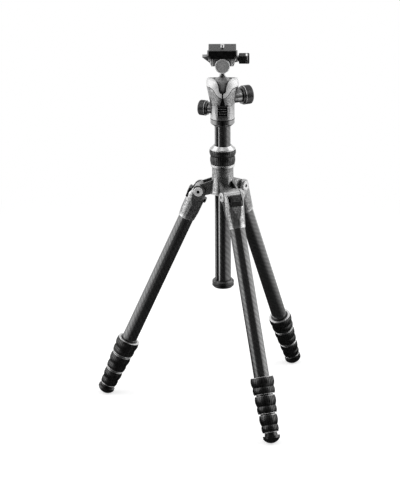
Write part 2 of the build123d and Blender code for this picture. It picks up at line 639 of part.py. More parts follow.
# Clamp and plate
def clamp_barrel():
    """Round barrel lying front to back, with dished ends."""
    barrel = Cylinder(BARREL_RADIUS, 2 * BARREL_HALF_LENGTH)
    barrel = chamfer(barrel.edges().filter_by(GeomType.CIRCLE), BARREL_CHAMFER)
    dish = Cylinder(BARREL_RADIUS - BARREL_RIM, 2 * BARREL_DISH_DEPTH)
    for end in (-1, 1):
        barrel -= Pos(0, 0, end * BARREL_HALF_LENGTH) * dish
    barrel = Rot(90, 0, 0) * barrel
    barrel -= post(STEM_RADIUS + RUN_GAP, -2 * BARREL_RADIUS, STEM_REACH + FREE_GAP)
    barrel -= screw_bore(CLAMP_SCREW_RADIUS + FREE_GAP)
    return Pos(0, 0, BARREL_CENTRE) * barrel


def screw_bore(radius):
    """Way for the clamp's screw, along X."""
    way = post(radius, CLAMP_SCREW_TIP - FREE_GAP, JAW_REACH)
    return Pos(0, 0, CLAMP_SCREW_HEIGHT) * Rot(0, 90, 0) * way


def dovetail(gap):
    """Section of the plate's dovetail, with a gap all round except on top."""
    base = DOVETAIL_HALF_WIDTH + gap
    neck = base - DOVETAIL_RISE
    low = CLAMP_FLOOR + DOVETAIL_GAP - gap
    land = CLAMP_FLOOR + DOVETAIL_GAP + DOVETAIL_LAND
    return [(-base, low), (base, low), (base, land), (neck, land + DOVETAIL_RISE),
            (neck, PLATE_SLAB_BOTTOM), (-neck, PLATE_SLAB_BOTTOM), (-neck, land + DOVETAIL_RISE), (-base, land)]


def clamp_half():
    """One half of the clamp, on the side of +X."""
    tip_low = JAW_TOP - JAW_TIP_HEIGHT
    half = prism(CLAMP_HALF_LENGTH, (0, CLAMP_BOTTOM), (JAW_SPLIT + JAW_FOOT, CLAMP_BOTTOM),
                 (JAW_REACH, tip_low), (JAW_REACH, JAW_TOP), (0, JAW_TOP))
    return half - prism(2 * CLAMP_HALF_LENGTH, *dovetail(DOVETAIL_GAP))


def clamp_body():
    """Bridge over the barrel, with the fixed jaw and its wing on the left."""
    wide = 2 * WING_REACH
    right = clamp_half() - block((JAW_SPLIT, wide), (-wide, wide), (-wide, wide))
    body = Rot(0, 0, 180) * clamp_half() + right
    body += prism(WING_HALF_LENGTH, (-WING_REACH, WING_TOP - WING_EDGE), (-WING_REACH, WING_TOP),
                  (-JAW_SPLIT, WING_TOP), (-JAW_SPLIT, WING_FOOT), (-WING_ROOT, WING_FOOT))
    body -= Rot(90, 0, 0) * Cylinder(BARREL_RADIUS + SEAT_GAP, wide)
    return Pos(0, 0, BARREL_CENTRE) * (body - screw_bore(CLAMP_SCREW_RADIUS + RUN_GAP))


def clamp_jaw():
    """Moving jaw on the right, with the boss that the clamp knob bears on."""
    wide = 2 * WING_REACH
    face = JAW_SPLIT + FREE_GAP
    jaw = clamp_half() - block((-wide, face), (-wide, wide), (-wide, wide))
    boss = post(CLAMP_KNOB_HUB + JAW_BOSS_WALL, face, JAW_REACH)
    jaw += Pos(0, 0, CLAMP_SCREW_HEIGHT) * Rot(0, 90, 0) * boss
    jaw -= prism(2 * CLAMP_HALF_LENGTH, *dovetail(DOVETAIL_GAP))
    return Pos(0, 0, BARREL_CENTRE) * (jaw - screw_bore(CLAMP_SCREW_RADIUS + RUN_GAP))


def clamp_knob():
    """Small knob with its hub and screw, along X."""
    grip = post(CLAMP_KNOB_RADIUS, CLAMP_KNOB_START, CLAMP_KNOB_END)
    grip = chamfer(grip.edges().filter_by(GeomType.CIRCLE), CLAMP_KNOB_CHAMFER)
    knob = grip + post(CLAMP_KNOB_HUB, JAW_REACH + FREE_GAP, CLAMP_KNOB_START)
    knob += post(CLAMP_SCREW_RADIUS, CLAMP_SCREW_TIP, JAW_REACH + FREE_GAP)
    return Pos(0, 0, BARREL_CENTRE + CLAMP_SCREW_HEIGHT) * Rot(0, 90, 0) * knob


def quick_release_plate():
    """Dovetail plate with a pocket below for the camera screw's head."""
    plate = prism(PLATE_HALF_LENGTH, *dovetail(0))
    plate += block((-PLATE_HALF_WIDTH, PLATE_HALF_WIDTH), (-PLATE_HALF_LENGTH, PLATE_HALF_LENGTH),
                   (PLATE_SLAB_BOTTOM, PLATE_TOP))
    pocket_top = CLAMP_FLOOR + DOVETAIL_GAP + SCREW_POCKET_DEPTH
    plate -= post(SCREW_HEAD_RADIUS + FREE_GAP, CLAMP_FLOOR, pocket_top)
    return Pos(0, 0, BARREL_CENTRE) * (plate - post(SCREW_RADIUS + RUN_GAP, CLAMP_FLOOR, PLATE_TOP))


def camera_screw():
    """Slotted screw that stands up through the plate."""
    head_top = CLAMP_FLOOR + DOVETAIL_GAP + SCREW_POCKET_DEPTH - FREE_GAP
    head_low = head_top - SCREW_HEAD_HEIGHT
    head = post(SCREW_HEAD_RADIUS, head_low, head_top)
    head -= block((-SCREW_HEAD_RADIUS, SCREW_HEAD_RADIUS), (-SCREW_SLOT_HALF_WIDTH, SCREW_SLOT_HALF_WIDTH),
                  (head_low, head_low + SCREW_SLOT_DEPTH))
    thread_low = PLATE_TOP + SCREW_RELIEF
    thread = post(SCREW_RADIUS, thread_low, PLATE_TOP + SCREW_REACH)
    thread = chamfer(thread.edges().sort_by(Axis.Z)[-1], SCREW_CHAMFER)
    return Pos(0, 0, BARREL_CENTRE) * (head + post(SCREW_NECK_RADIUS, head_top, thread_low) + thread)


# Assembly
def all_nodes():
    """Every piece by name, on the column's axis, with heights from the pivots."""
    nodes = {}
    for name, azimuth in LEG_AZIMUTHS.items():
        nodes.update(leg_nodes(name, azimuth))
    nodes["pivot_bolts"] = Compound(children=pivot_bolts())
    for make in (spider, column_bush, column_lock_collar, column_lock_ring, column_tube, column_end_cap,
                 column_top_plate, pan_base, head_housing, lip_collar, ball, ball_stem, clamp_barrel,
                 clamp_body, clamp_jaw, clamp_knob, quick_release_plate, camera_screw):
        nodes[make.__name__] = make()
    for name, knob in KNOBS.items():
        nodes[f"{name}_knob"] = lock_knob(knob)
    return nodes


def stance_offset(nodes):
    """Moves the middle of the footprint to the origin, and the soles to the floor."""
    boxes = [node.bounding_box() for node in nodes.values()]
    middle_x = (min(box.min.X for box in boxes) + max(box.max.X for box in boxes)) / 2
    middle_y = (min(box.min.Y for box in boxes) + max(box.max.Y for box in boxes)) / 2
    return Pos(-middle_x, -middle_y, PIVOT_HEIGHT)


NODES = all_nodes()
OFFSET = stance_offset(NODES)
os.makedirs("parts", exist_ok=True)
for node_name, node in NODES.items():
    export_step(OFFSET * node, f"parts/{node_name}.step")
print("column axis and pivot plane:", [round(value, 4) for value in OFFSET.position])
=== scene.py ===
import json
import math

import bpy
from mathutils import Matrix, Vector
from mathutils.bvhtree import BVHTree

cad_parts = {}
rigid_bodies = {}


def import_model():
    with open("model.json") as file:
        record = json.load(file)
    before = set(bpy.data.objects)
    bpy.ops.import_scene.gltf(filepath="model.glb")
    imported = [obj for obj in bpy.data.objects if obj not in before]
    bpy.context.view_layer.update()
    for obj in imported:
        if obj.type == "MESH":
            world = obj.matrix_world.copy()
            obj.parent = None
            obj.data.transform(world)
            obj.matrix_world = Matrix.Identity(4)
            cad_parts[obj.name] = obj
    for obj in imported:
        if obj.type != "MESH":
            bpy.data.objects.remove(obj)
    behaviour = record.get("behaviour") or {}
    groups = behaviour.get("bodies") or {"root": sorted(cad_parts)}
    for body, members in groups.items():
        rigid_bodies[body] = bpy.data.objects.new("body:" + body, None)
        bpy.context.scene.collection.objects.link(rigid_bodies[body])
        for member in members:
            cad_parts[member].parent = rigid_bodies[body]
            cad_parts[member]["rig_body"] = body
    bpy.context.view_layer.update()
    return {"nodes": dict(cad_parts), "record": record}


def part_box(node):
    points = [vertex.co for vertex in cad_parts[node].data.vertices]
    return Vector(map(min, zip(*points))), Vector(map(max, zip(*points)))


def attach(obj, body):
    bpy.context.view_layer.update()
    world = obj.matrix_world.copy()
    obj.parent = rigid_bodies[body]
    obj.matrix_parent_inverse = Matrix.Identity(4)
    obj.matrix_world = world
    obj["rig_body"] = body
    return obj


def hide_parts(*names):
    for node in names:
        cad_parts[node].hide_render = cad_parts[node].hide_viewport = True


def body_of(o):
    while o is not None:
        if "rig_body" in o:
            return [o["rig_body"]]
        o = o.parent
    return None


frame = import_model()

# Travel tripod with a ball head. Lengths are in metres.
MM = 0.001
NODES = frame["nodes"]
JOINTS = {joint["name"]: joint for joint in frame["record"]["behaviour"]["joints"]}
LEGS = ("left", "front", "rear")
UP = Vector((0, 0, 1))
FRONT = Vector((0, -1, 0))

# The photograph's view, fitted to the legs and the column
PHOTO_WIDTH = 400
FOCAL_PIXELS = 2294.4
CAMERA_DISTANCE = 3.8
CAMERA_PITCH = math.radians(19.35)
CAMERA_YAW = math.radians(0.608)
CAMERA_ROLL = math.radians(-0.389)
AIM_HEIGHT = 0.2759
SENSOR_WIDTH = 36.0
CLIP_END = 50.0


# Places and measures, taken from the joints and the CAD nodes
def leg_place(leg):
    """Matrix of an upright leg: its pivot at the origin, +X outwards, the foot down along -Z."""
    down = Vector(JOINTS[f"{leg}_leg_section_2_extend"]["axis"])
    out = Vector(JOINTS[f"{leg}_leg_catch_pull"]["axis"])
    rotation = Matrix((out, (-down).cross(out), -down)).transposed().to_4x4()
    return Matrix.Translation(JOINTS[f"{leg}_leg_swing"]["pos_m"]) @ rotation


def joint_place(joint):
    """Matrix with its Z along a hinge's axis, and its origin on the axis."""
    turn = UP.rotation_difference(Vector(JOINTS[joint]["axis"])).to_matrix().to_4x4()
    return Matrix.Translation(JOINTS[joint]["pos_m"]) @ turn


def local_points(node, place):
    """A node's points in a place's own axes."""
    inverse = place.inverted()
    return [inverse @ vertex.co for vertex in NODES[node].data.vertices]


def face_tree(node, place):
    """Search tree of a node's faces, in a place's own axes."""
    faces = [tuple(face.vertices) for face in NODES[node].data.polygons]
    return BVHTree.FromPolygons(local_points(node, place), faces)


def largest_radius(node, place):
    """A node's largest radius about a place's Z."""
    return max(math.hypot(point.x, point.y) for point in local_points(node, place))


def box_corners(node):
    """The lowest and the highest corner of a node's box."""
    return [Vector(corner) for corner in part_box(node)]


LEG_PLACES = {leg: leg_place(leg) for leg in LEGS}
COLUMN_PLACE = joint_place("column_lock_twist")
BARREL_LOW, BARREL_HIGH = box_corners("clamp_barrel")
BARREL_PLACE = Matrix.Translation((BARREL_LOW + BARREL_HIGH) / 2)
HEAD_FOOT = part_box("head_housing")[0][2]
AXIS = Vector(JOINTS["head_pan"]["pos_m"])


# Camera
def make_camera():
    """Camera in front of the tripod at the photograph's angle, looking down on it."""
    data = bpy.data.cameras.new("photo_camera")
    data.sensor_fit = "HORIZONTAL"
    data.sensor_width = SENSOR_WIDTH
    data.lens = FOCAL_PIXELS * SENSOR_WIDTH / PHOTO_WIDTH
    data.clip_end = CLIP_END
    camera = bpy.data.objects.new("photo_camera", data)
    back = CAMERA_DISTANCE * math.cos(CAMERA_PITCH)
    up = CAMERA_DISTANCE * math.sin(CAMERA_PITCH)
    place = Matrix.Translation((AXIS.x, AXIS.y - back, AIM_HEIGHT + up))
    place = place @ Matrix.Rotation(CAMERA_YAW, 4, "Z")
    place = place @ Matrix.Rotation(math.pi / 2 - CAMERA_PITCH, 4, "X")
    camera.matrix_world = place @ Matrix.Rotation(CAMERA_ROLL, 4, "Z")
    bpy.context.scene.collection.objects.link(camera)
    bpy.context.scene.camera = camera


make_camera()


# Materials: each is a Principled shader with procedural detail in the piece's own coordinates
# samples and falloff of the ambient occlusion that paints shade into corners
CORNER_SAMPLES = 6
CORNER_POWER = 1.6


def grey_color(grey):
    return (grey, grey, grey, 1)


class Nodes:
    """Short calls to add nodes to a shader tree."""

    def __init__(self, tree):
        self.tree = tree

    def plug(self, socket, value):
        """Links an input to another node's output, or sets its value."""
        if isinstance(value, bpy.types.NodeSocket):
            self.tree.links.new(value, socket)
        else:
            socket.default_value = value

    def add(self, kind, inputs=None, **settings):
        node = self.tree.nodes.new(kind)
        for key, value in settings.items():
            setattr(node, key, value)
        for key, value in (inputs or {}).items():
            self.plug(node.inputs[key], value)
        return node

    def math(self, operation, first, second=0.0):
        return self.add("ShaderNodeMath", {0: first, 1: second}, operation=operation).outputs[0]

    def length(self, first, second):
        """Length of a vector with two parts."""
        squares = [self.math("POWER", part, 2.0) for part in (first, second)]
        return self.math("SQRT", self.math("ADD", *squares))

    def axes(self, vector):
        return self.add("ShaderNodeSeparateXYZ", {0: vector}).outputs


class Finish(Nodes):
    """A material with its Principled shader, and short calls for surface detail."""

    def __init__(self, name, grey, roughness, metallic=0.0):
        self.material = bpy.data.materials.new(name)
        self.material.use_nodes = True
        super().__init__(self.material.node_tree)
        self.shader = self.tree.nodes["Principled BSDF"]
        self.set(base_color=grey_color(grey), roughness=roughness, metallic=metallic)
        self.object_coordinates = self.add("ShaderNodeTexCoord").outputs["Object"]

    def set(self, **values):
        """Sets the shader's own values, named as its inputs are."""
        for key, value in values.items():
            self.shader.inputs[key.replace("_", " ").title().replace("Ior ", "IOR ")].default_value = value

    def local(self, place):
        """Coordinates in a place's own axes."""
        inputs = {"Vector": self.object_coordinates, "Location": place.to_translation(),
                  "Rotation": place.to_euler()}
        return self.add("ShaderNodeMapping", inputs, vector_type="TEXTURE").outputs[0]

    def noise(self, scale, detail=2.0, vector=None):
        inputs = {"Vector": vector or self.object_coordinates, "Scale": scale, "Detail": detail}
        return self.add("ShaderNodeTexNoise", inputs).outputs["Fac"]

    def ramp(self, value, low, high, low_grey, high_grey):
        """A colour that goes from one grey to another as a value goes from low to high."""
        node = self.add("ShaderNodeValToRGB", {"Fac": value})
        for stop, place, grey in zip(node.color_ramp.elements, (low, high), (low_grey, high_grey)):
            stop.position = place
            stop.color = grey_color(grey)
        return node.outputs["Color"]

    def remap(self, value, low, high):
        return self.add("ShaderNodeMapRange", {"Value": value, "To Min": low, "To Max": high}).outputs[0]

    def between(self, value, low, high):
        """1 where a value lies between two limits."""
        above = self.math("GREATER_THAN", value, low)
        return self.math("MULTIPLY", above, self.math("LESS_THAN", value, high))

    def weigh(self, first, first_share, second, second_share):
        """Sum of two values, each times its share."""
        return self.math("ADD", self.math("MULTIPLY", first, first_share),
                         self.math("MULTIPLY", second, second_share))

    def blend(self, factor, first, second):
        """Colour mix of two colours."""
        node = self.add("ShaderNodeMix", data_type="RGBA")
        for key, value in {"Factor": factor, "A": first, "B": second}.items():
            self.plug(next(entry for entry in node.inputs if entry.name == key and entry.enabled), value)
        return next(entry for entry in node.outputs if entry.enabled)

    def corners(self, reach):
        """Painted shade: grows from 0 on open surfaces to 1 in deep corners, where shade falls."""
        open_air = self.add("ShaderNodeAmbientOcclusion", {"Distance": reach}, samples=CORNER_SAMPLES)
        return self.math("SUBTRACT", 1.0, self.math("POWER", open_air.outputs["AO"], CORNER_POWER))

    def color(self, socket):
        self.tree.links.new(socket, self.shader.inputs["Base Color"])

    def rough(self, value, low, high):
        """Roughness that goes from low to high as a value goes from 0 to 1."""
        self.tree.links.new(self.remap(value, low, high), self.shader.inputs["Roughness"])

    def bump(self, height, strength, depth):
        inputs = {"Height": height, "Strength": strength, "Distance": depth}
        self.tree.links.new(self.add("ShaderNodeBump", inputs).outputs[0], self.shader.inputs["Normal"])


TOW_WIDTH = 2.4 * MM
TWILL_REPEAT = 4.0           # tows to a repeat of the weave
TWILL_OVER = 1.5             # steps of a repeat below this lie on top
# greys of the groove's painted shade and of its edge's painted highlight
GROOVE_SHADE_GREY = 0.002
GROOVE_HIGHLIGHT_GREY = 0.5


def carbon(name, place, radius, groove=None):
    """Twill-woven carbon tube under a satin lacquer; a groove's painted shade and its edge's painted
    highlight run along it between angles.
    """
    finish = Finish(name, 0.06, roughness=0.24, metallic=0.9)
    axes = finish.axes(finish.local(place))
    tows = round(2 * math.pi * radius / TOW_WIDTH)
    angle = finish.math("ARCTAN2", axes["Y"], axes["X"])
    around = finish.math("MULTIPLY", angle, tows / (2 * math.pi))
    along = finish.math("DIVIDE", axes["Z"], TOW_WIDTH)
    step = finish.math("ADD", finish.math("FLOOR", around), finish.math("FLOOR", along))
    over = finish.math("LESS_THAN", finish.math("FLOORED_MODULO", step, TWILL_REPEAT), TWILL_OVER)
    ridge_around = finish.math("PINGPONG", around, 0.5)
    ridge_along = finish.math("PINGPONG", along, 0.5)
    ridges = finish.add("ShaderNodeMix", {"Factor": over, "A": ridge_along, "B": ridge_around})
    haze = finish.noise(scale=60.0, detail=3.0)
    shade = finish.weigh(over, 0.4, haze, 0.5)
    color = finish.ramp(shade, low=0.0, high=1.0, low_grey=0.07, high_grey=0.16)
    if groove:
        # painted shade in the groove, and a painted highlight along its edge
        groove_shade, edge = (finish.between(angle, *span) for span in groove)
        color = finish.blend(groove_shade, color, grey_color(GROOVE_SHADE_GREY))
        color = finish.blend(edge, color, grey_color(GROOVE_HIGHLIGHT_GREY))
    finish.color(color)
    finish.rough(over, low=0.27, high=0.22)
    finish.bump(ridges.outputs["Result"], strength=0.06, depth=0.1 * MM)
    return finish.material


# reach of the painted shade in corners
CORNER_SHADE_REACH = 7.0 * MM
MOTTLE_SCALE = 420.0
MOTTLE_SHARE = 0.45
CELL_SCALE = 700.0
WORN_GREY = 0.75
WORN_FROM, WORN_TO = 0.52, 0.6          # pointiness of edges where the lacquer starts to wear, and is worn
LACQUER_TINT = 0.7
# near-black greys of the painted shade in the corners of casts and anodised parts
CAST_CORNER_SHADE_GREY = 0.006
ANODISED_CORNER_SHADE_GREY = 0.003


def hammered(name, dark, light):
    """Cast metal with a speckled, hammered lacquer, rubbed bright on its edges, with painted shade in its
    corners.
    """
    finish = Finish(name, light, roughness=0.3, metallic=0.85)
    speckle = finish.noise(scale=1400.0)
    cell_inputs = {"Vector": finish.object_coordinates, "Scale": CELL_SCALE}
    cells = finish.add("ShaderNodeTexVoronoi", cell_inputs).outputs["Distance"]
    color = finish.ramp(finish.weigh(speckle, 0.6, cells, 0.55), low=0.34, high=0.76,
                        low_grey=dark, high_grey=light)
    mottle = finish.ramp(finish.noise(MOTTLE_SCALE, detail=3.0), low=0.42, high=0.6,
                         low_grey=dark, high_grey=light)
    color = finish.blend(MOTTLE_SHARE, color, mottle)
    pointiness = finish.add("ShaderNodeNewGeometry").outputs["Pointiness"]
    worn_inputs = {"Value": pointiness, "From Min": WORN_FROM, "From Max": WORN_TO}
    worn = finish.add("ShaderNodeMapRange", worn_inputs).outputs[0]
    color = finish.blend(finish.math("MULTIPLY", worn, speckle), color, grey_color(WORN_GREY))
    # painted shade: corners darken toward a near-black grey
    finish.color(finish.blend(finish.corners(CORNER_SHADE_REACH), color, grey_color(CAST_CORNER_SHADE_GREY)))
    finish.rough(speckle, low=0.28, high=0.14)
    finish.bump(cells, strength=0.12, depth=0.3 * MM)
    finish.set(specular_tint=grey_color(LACQUER_TINT))
    return finish.material


LATHE_STRETCH = (60, 60, 9000)


def satin_metal(name, grey, roughness, metallic=1.0):
    """Turned metal with fine lathe lines round the column's axis."""
    finish = Finish(name, grey, roughness, metallic)
    stretch = {"Vector": finish.local(COLUMN_PLACE), "Scale": LATHE_STRETCH}
    lines = finish.noise(scale=1.0, detail=3.0, vector=finish.add("ShaderNodeMapping", stretch).outputs[0])
    smudge = finish.noise(scale=90.0)
    finish.color(finish.ramp(smudge, low=0.25, high=0.75, low_grey=grey * 0.82, high_grey=grey))
    finish.rough(lines, low=roughness * 0.75, high=roughness * 1.3)
    finish.bump(lines, strength=0.12, depth=0.05 * MM)
    return finish.material


MOUTH_RADIUS = 22.0 * MM
MOUTH_SHADE_GREY = 0.012


def lip_metal(name):
    """Satin aluminium with a brushed haze, and painted shade inside the mouth."""
    finish = Finish(name, 0.86, roughness=0.36, metallic=0.3)
    haze = finish.ramp(finish.noise(scale=150.0, detail=4.0), low=0.3, high=0.7,
                       low_grey=0.52, high_grey=0.68)
    grain = finish.noise(scale=2400.0)
    axes = finish.axes(finish.local(Matrix.Translation(AXIS)))
    inside = finish.math("LESS_THAN", finish.length(axes["X"], axes["Y"]), MOUTH_RADIUS)
    # painted shade: the lip turns near-black within the mouth's radius
    finish.color(finish.blend(inside, haze, grey_color(MOUTH_SHADE_GREY)))
    finish.rough(grain, low=0.3, high=0.44)
    finish.bump(grain, strength=0.1, depth=0.04 * MM)
    return finish.material


LATHE_SCALE = 6000.0
LATHE_SHEEN = 0.8


def lathe_face(name, grey):
    """Turned face and barrel with a fanned sheen, its axis front to back."""
    finish = Finish(name, grey, roughness=0.34, metallic=0.6)
    axes = finish.axes(finish.local(BARREL_PLACE))
    ring_inputs = {"W": finish.length(axes["X"], axes["Z"]), "Scale": LATHE_SCALE, "Detail": 2.0}
    rings = finish.add("ShaderNodeTexNoise", ring_inputs, noise_dimensions="1D").outputs["Fac"]
    finish.color(finish.ramp(rings, low=0.3, high=0.7, low_grey=grey * 0.75, high_grey=grey * 1.2))
    finish.rough(rings, low=0.28, high=0.42)
    finish.bump(rings, strength=0.15, depth=0.05 * MM)
    tangent = finish.add("ShaderNodeTangent", direction_type="RADIAL", axis="Y").outputs[0]
    finish.tree.links.new(tangent, finish.shader.inputs["Tangent"])
    finish.set(anisotropic=LATHE_SHEEN)
    return finish.material


def rubber(name, grey, gloss):
    """Black moulded rubber or plastic with a fine grain and dusty high spots."""
    finish = Finish(name, grey, roughness=0.5)
    dust = finish.noise(scale=220.0, detail=4.0)
    grain = finish.noise(scale=2600.0)
    finish.color(finish.ramp(dust, low=0.3, high=0.8, low_grey=grey * 0.6, high_grey=grey * 1.9))
    finish.rough(dust, low=0.2, high=0.38)
    finish.bump(grain, strength=0.2, depth=0.06 * MM)
    finish.set(specular_ior_level=gloss)
    return finish.material


def anodised(name, grey, roughness, metallic=0.7):
    """Anodised metal with a bead-blasted grain, and painted shade darkening its corners."""
    finish = Finish(name, grey, roughness, metallic)
    grain = finish.noise(scale=3200.0)
    tone = finish.ramp(finish.noise(scale=120.0, detail=3.0), low=0.3, high=0.7,
                       low_grey=grey * 0.8, high_grey=grey * 1.25)
    # painted shade: corners darken toward a near-black grey
    finish.color(finish.blend(finish.corners(CORNER_SHADE_REACH), tone, grey_color(ANODISED_CORNER_SHADE_GREY)))
    finish.rough(grain, low=roughness * 0.85, high=roughness * 1.2)
    finish.bump(grain, strength=0.15, depth=0.04 * MM)
    return finish.material


# Stage
AMBIENT = 0.18
FRONT_DARKNESS = 0.03        # what reflections show in front of the tripod, where the room is dark
BACKDROP_FADE = (-0.75, 0.35)
FLOOR_SIZE = 14
FLOOR_GREY = 0.85
FLOOR_ROUGHNESS = 0.9
FLOOR_GAIN = 1.6             # makes up for what the lamps leave of the floor's white
FLOOR_MIRRORED = 1.4
FLOOR_SIDE_FADE = (0.2, 0.65)
FLOOR_FRONT_FADE = (-1.1, -0.4)
SHADOW_SHARE = 0.42          # part of the floor's white that comes from the lamps, near the tripod
SHADOW_FADE = (0.42, 1.15)
LAMP_AIM = Vector((AXIS.x, AXIS.y, 0.35))
LAMPS = {                    # position, size, power, whether reflections show it
    "left_softbox": ((-1.7, -0.1, 1.1), (2.6, 2.4), 36, True),
    "right_softbox": ((1.8, 0.1, 1.1), (2.6, 2.4), 36, True),
    "top_softbox": ((0.0, 0.1, 2.3), (1.4, 1.4), 8, True),
    "front_fill": ((0.3, -2.2, 1.2), (1.6, 1.6), 10, False),
}


class Stage(Nodes):
    """Short calls for the floor's and the world's tree."""

    def __init__(self, tree):
        super().__init__(tree)
        path = self.add("ShaderNodeLightPath").outputs
        self.camera = path["Is Camera Ray"]
        self.mirrored = self.math("MAXIMUM", path["Is Glossy Ray"], path["Is Transmission Ray"])
        self.seen = self.math("MAXIMUM", self.camera, self.mirrored)

    def fade(self, value, span, first, last):
        """Goes smoothly from a first to a last value as a value crosses a span."""
        inputs = {"Value": value, "From Min": span[0], "From Max": span[1], "To Min": first, "To Max": last}
        return self.add("ShaderNodeMapRange", inputs, interpolation_type="SMOOTHSTEP").outputs[0]

    def places(self, kind):
        return self.axes(self.add("ShaderNodeTexCoord").outputs[kind])


def make_floor():
    """Pale floor: white where it is seen, with the tripod's shadow, and darker in front in reflections."""
    bpy.ops.mesh.primitive_plane_add(size=FLOOR_SIZE, location=(0, 0, 0))
    floor = bpy.context.object
    floor.name = "studio_floor"
    material = bpy.data.materials.new("pale_floor")
    material.use_nodes = True
    stage = Stage(material.node_tree)
    shader = stage.tree.nodes["Principled BSDF"]
    shader.inputs["Roughness"].default_value = FLOOR_ROUGHNESS
    shader.inputs["Specular IOR Level"].default_value = 0.0
    shader.inputs["Emission Color"].default_value = grey_color(1)
    axes = stage.places("Object")
    lit = stage.fade(stage.length(axes["X"], axes["Y"]), SHADOW_FADE, SHADOW_SHARE, 0.0)
    unseen = stage.math("MULTIPLY", stage.math("SUBTRACT", 1.0, stage.seen), FLOOR_GREY)
    seen = stage.math("MULTIPLY", stage.camera, stage.math("MULTIPLY", lit, FLOOR_GAIN))
    stage.plug(shader.inputs["Base Color"], stage.math("ADD", seen, unseen))
    white = stage.math("MULTIPLY", stage.camera, stage.math("SUBTRACT", 1.0, lit))
    aside = stage.fade(stage.math("ABSOLUTE", axes["X"]), FLOOR_SIDE_FADE, FRONT_DARKNESS, FLOOR_MIRRORED)
    ahead = stage.fade(axes["Y"], FLOOR_FRONT_FADE, FRONT_DARKNESS, 1.0)
    glow = stage.math("MULTIPLY", stage.mirrored, stage.math("MULTIPLY", aside, ahead))
    stage.plug(shader.inputs["Emission Strength"], stage.math("ADD", white, glow))
    floor.data.materials.append(material)


def make_world():
    """White backdrop that is darker in front of the tripod in reflections, and a softer fill of light."""
    world = bpy.data.worlds.new("studio")
    bpy.context.scene.world = world
    world.use_nodes = True
    stage = Stage(world.node_tree)
    fill = stage.tree.nodes["Background"]
    fill.inputs["Strength"].default_value = AMBIENT
    fill.inputs["Color"].default_value = grey_color(1)
    front = stage.fade(stage.places("Generated")["Y"], BACKDROP_FADE, FRONT_DARKNESS, 1.0)
    strength = stage.math("MAXIMUM", front, stage.camera)
    white = stage.add("ShaderNodeBackground", {"Color": grey_color(1), "Strength": strength})
    mix = stage.add("ShaderNodeMixShader", {0: stage.seen, 1: fill.outputs[0], 2: white.outputs[0]})
    stage.plug(stage.tree.nodes["World Output"].inputs["Surface"], mix.outputs[0])


def softbox(name, position, size, power, mirrored):
    """Area light aimed at the middle of the tripod, which may stay out of reflections."""
    data = bpy.data.lights.new(name, "AREA")
    data.shape = "RECTANGLE"
    data.size, data.size_y = size
    data.energy = power
    lamp = bpy.data.objects.new(name, data)
    lamp.location = position
    lamp.rotation_euler = (LAMP_AIM - Vector(position)).to_track_quat("-Z", "Y").to_euler()
    lamp.visible_glossy = mirrored
    bpy.context.scene.collection.objects.link(lamp)


# Finishes
RUBBER = rubber("black_rubber", 0.004, gloss=0.75)
PLASTIC = rubber("black_plastic", 0.003, gloss=0.3)
PLATE = rubber("plate_black", 0.004, gloss=0.12)
PAD = rubber("pad_rubber", 0.038, gloss=0.12)
CAST = hammered("cast_grey", dark=0.025, light=0.42)
HOUSING = hammered("housing_grey", dark=0.05, light=0.38)
SILVER = satin_metal("satin_silver", 0.52, roughness=0.24)
STEEL = satin_metal("steel", 0.6, roughness=0.3)
TRIM = satin_metal("trim_silver", 0.7, roughness=0.38)
PAN = satin_metal("pan_metal", 0.26, roughness=0.2)
BOLT = satin_metal("bolt_steel", 0.7, roughness=0.34, metallic=0.25)
DARK = anodised("dark_anodised", 0.1, roughness=0.38)
BLACK = anodised("black_anodised", 0.03, roughness=0.4)
JAW = anodised("jaw_grey", 0.2, roughness=0.34, metallic=0.5)
BALL = anodised("ball_grey", 0.3, roughness=0.3, metallic=0.5)
FLUTE = anodised("flute_grey", 0.5, roughness=0.3, metallic=0.4)
LIP = lip_metal("lip_silver")
BARREL = lathe_face("turned_grey", 0.5)
NODE_FINISHES = {
    "head_housing": HOUSING, "lip_collar": LIP, "clamp_barrel": BARREL, "clamp_body": JAW, "clamp_jaw": JAW,
    "ball": BALL, "pan_base": PAN, "pivot_bolts": BOLT, "quick_release_plate": PLATE,
    **{f"{leg}_leg_angle_catch": PLASTIC for leg in LEGS},
}
SLOT_FINISHES = {
    "black_rubber": RUBBER, "black_plastic": PLASTIC, "cast_grey": CAST, "satin_silver": SILVER,
    "dark_anodised": DARK, "black_anodised": BLACK, "steel": STEEL,
}
GROOVE_SPANS = ((-143, -122), (-122, -114))         # degrees: painted shade of the column's groove, and a painted highlight on its edge
COLUMN_GROOVE = [[math.radians(angle) for angle in span] for span in GROOVE_SPANS]


def dress_cad():
    """Gives every CAD node its finish, and each tube a weave along its own axis."""
    slots = {part["node"]: part["material_slot"] for part in frame["record"]["subparts"]}
    for node, piece in NODES.items():
        if slots[node] == "carbon_fibre":
            place = LEG_PLACES.get(node.split("_")[0], COLUMN_PLACE)
            groove = COLUMN_GROOVE if node == "column_tube" else None
            finish = carbon(f"carbon_{node}", place, largest_radius(node, place), groove)
        else:
            finish = NODE_FINISHES.get(node, SLOT_FINISHES[slots[node]])
        piece.data.materials.clear()
        piece.data.materials.append(finish)


dress_cad()


# Pieces made here, measured from the CAD nodes
SHARP = math.radians(32)
NUDGE = 0.02 * MM
RAY_START = 0.2              # start of a search ray, outside every piece
HEIGHT_DIGITS = 5
SEGMENTS = 96
RIB = ((0.0, 1.0), (0.14, 0.0), (0.52, 0.0), (0.66, 1.0))     # share of a rib's pitch, share of its depth


def add_piece(name, points, faces, node, finish, slot, replace=False):
    """A mesh piece that rides with a CAD node's body, and may stand for the node."""
    mesh = bpy.data.meshes.new(name)
    mesh.from_pydata(points, [], faces)
    mesh.validate()
    mesh.polygons.foreach_set("use_smooth", [True] * len(mesh.polygons))
    mesh.set_sharp_from_angle(angle=SHARP)
    mesh.materials.append(finish)
    piece = bpy.data.objects.new(name, mesh)
    bpy.context.scene.collection.objects.link(piece)
    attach(piece, body_of(NODES[node])[0])
    if replace:
        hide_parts(node)


